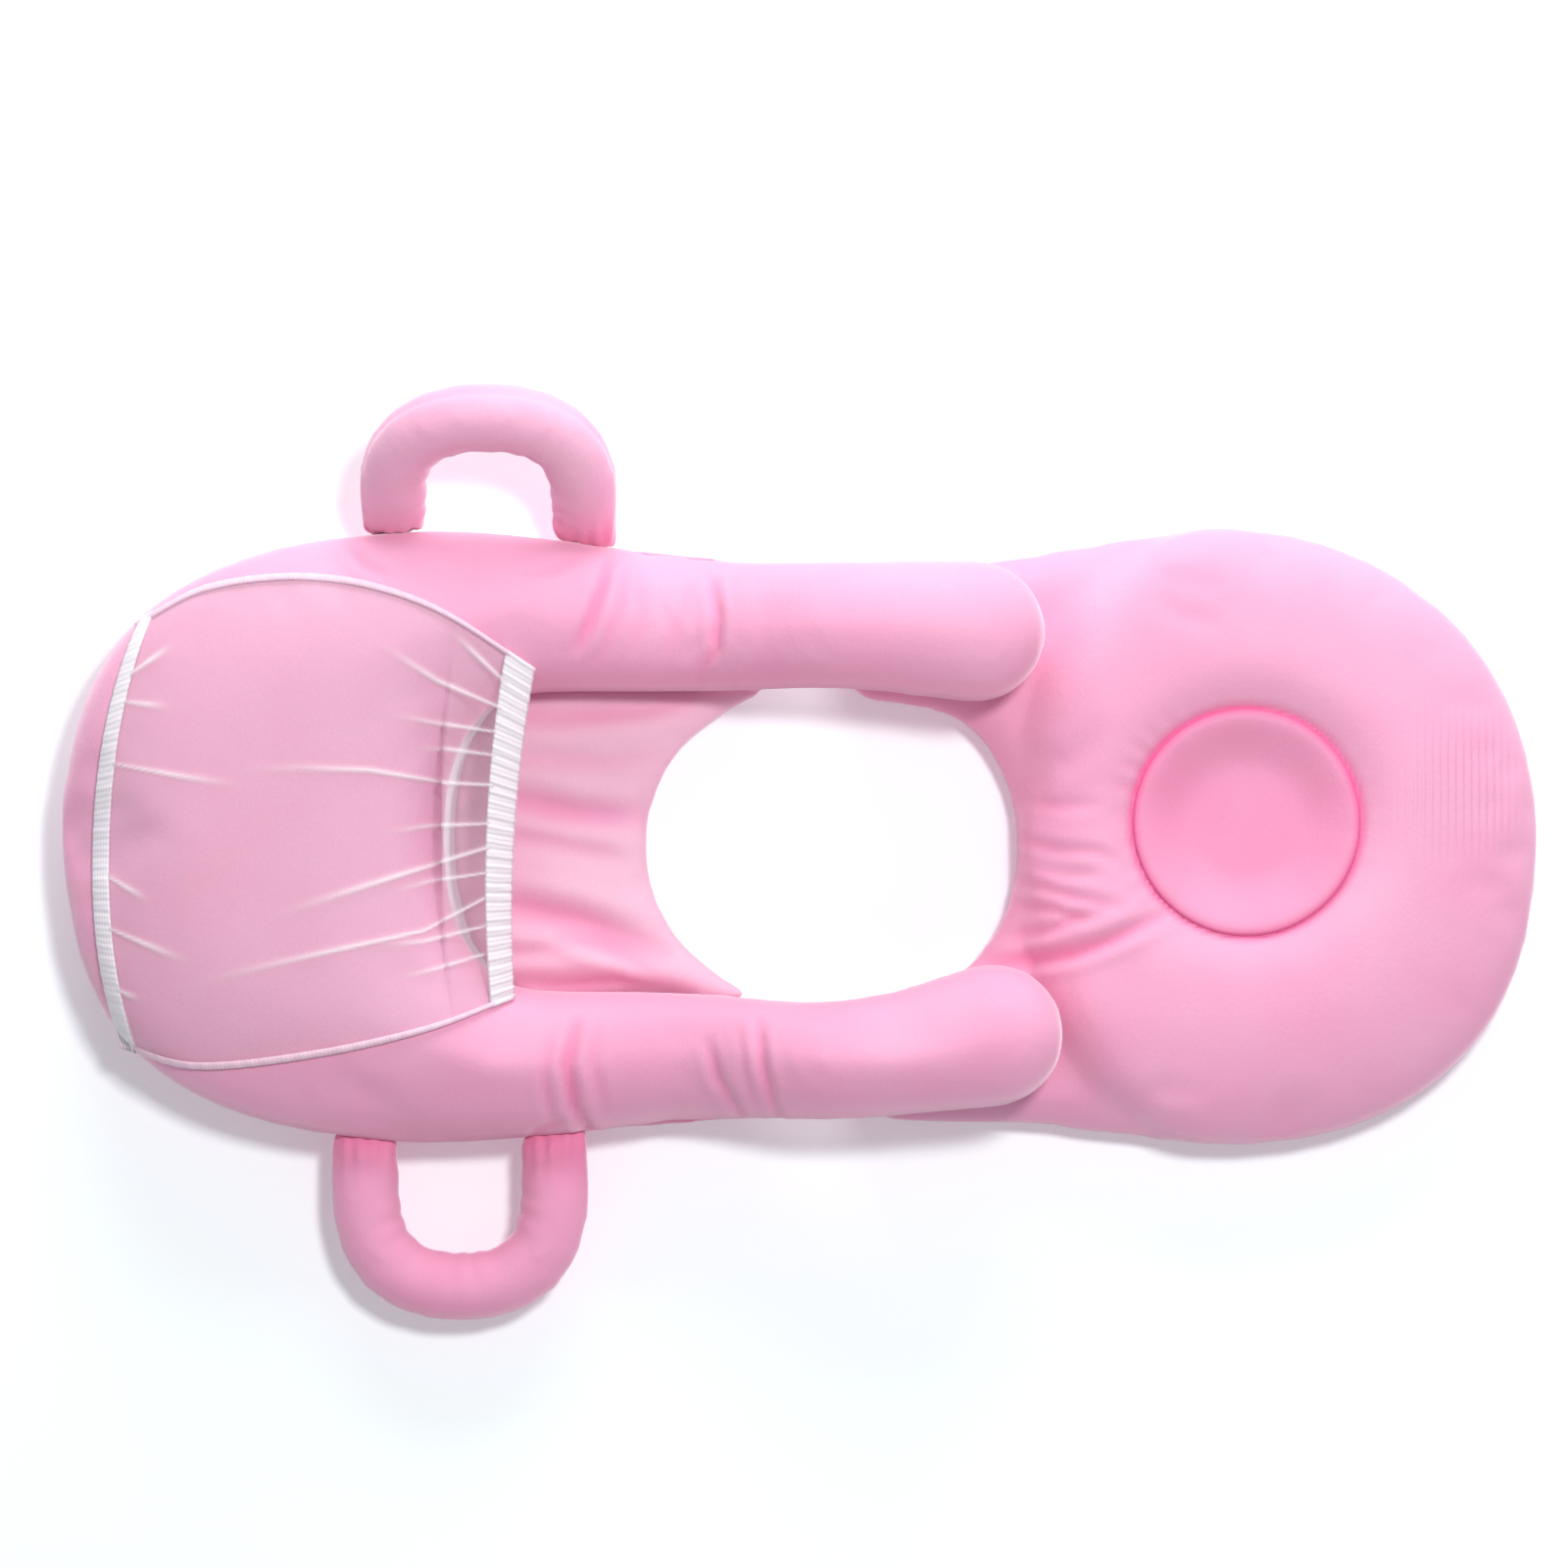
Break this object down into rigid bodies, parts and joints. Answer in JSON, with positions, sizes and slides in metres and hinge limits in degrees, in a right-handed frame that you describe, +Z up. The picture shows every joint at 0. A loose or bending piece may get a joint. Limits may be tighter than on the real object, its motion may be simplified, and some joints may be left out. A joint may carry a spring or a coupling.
{
  "type": "nursing pillow",
  "caption": "Padded nursing pillow: U-shaped bolster with net pocket and carry loops, its arms resting on a round head pillow with a dimple",
  "frame": {"origin": "under the middle of the whole object, on the surface it lies on", "axes": "+X from the bolster's closed end to the head pillow, +Y to the left side, +Z up"},
  "size_m": [0.7006, 0.4422, 0.0945],
  "materials": {
    "plush": "soft brushed knit, light pink",
    "sheer_net": "fine sheer white net",
    "elastic": "woven white elastic and binding",
    "filling": "loose white polyester fibre"
  },
  "bodies": {
    "bolster": {"bolster_top_cover": "plush", "bolster_bottom_cover": "plush", "bolster_filling": "filling", "seat_pad_top_cover": "plush", "seat_pad_bottom_cover": "plush", "seat_pad_wadding": "filling", "net_pocket_panel": "sheer_net", "net_rear_elastic": "elastic", "net_front_elastic": "elastic", "net_left_binding": "elastic", "net_right_binding": "elastic"},
    "left_arm": {"left_arm_top_cover": "plush", "left_arm_bottom_cover": "plush", "left_arm_filling": "filling"},
    "right_arm": {"right_arm_top_cover": "plush", "right_arm_bottom_cover": "plush", "right_arm_filling": "filling"},
    "left_handle": {"left_handle_cover": "plush", "left_handle_filling": "filling"},
    "right_handle": {"right_handle_cover": "plush", "right_handle_filling": "filling"},
    "head_pillow": {"head_top_cover": "plush", "head_bottom_cover": "plush", "head_filling": "filling", "dimple_panel": "plush"}
  },
  "joints": [
    {"name": "left_arm_lift", "type": "hinge", "parent": "bolster", "child": "left_arm", "pos_m": [-0.02615, 0.1, 0.0772], "axis": [0, -1, 0], "range_deg": [0, 45]},
    {"name": "right_arm_lift", "type": "hinge", "parent": "bolster", "child": "right_arm", "pos_m": [-0.02615, -0.1, 0.0772], "axis": [0, -1, 0], "range_deg": [0, 45]},
    {"name": "left_handle_swing", "type": "hinge", "parent": "bolster", "child": "left_handle", "pos_m": [-0.1488, 0.1518, 0.028], "axis": [1, 0, 0], "range_deg": [-44, 14]},
    {"name": "right_handle_swing", "type": "hinge", "parent": "bolster", "child": "right_handle", "pos_m": [-0.1628, -0.1372, 0.028], "axis": [-1, 0, 0], "range_deg": [0, 60]},
    {"name": "head_pillow_slide", "type": "slide", "parent": "bolster", "child": "head_pillow", "axis": [1, 0, 0], "range_m": [0, 0.16]}
  ]
}
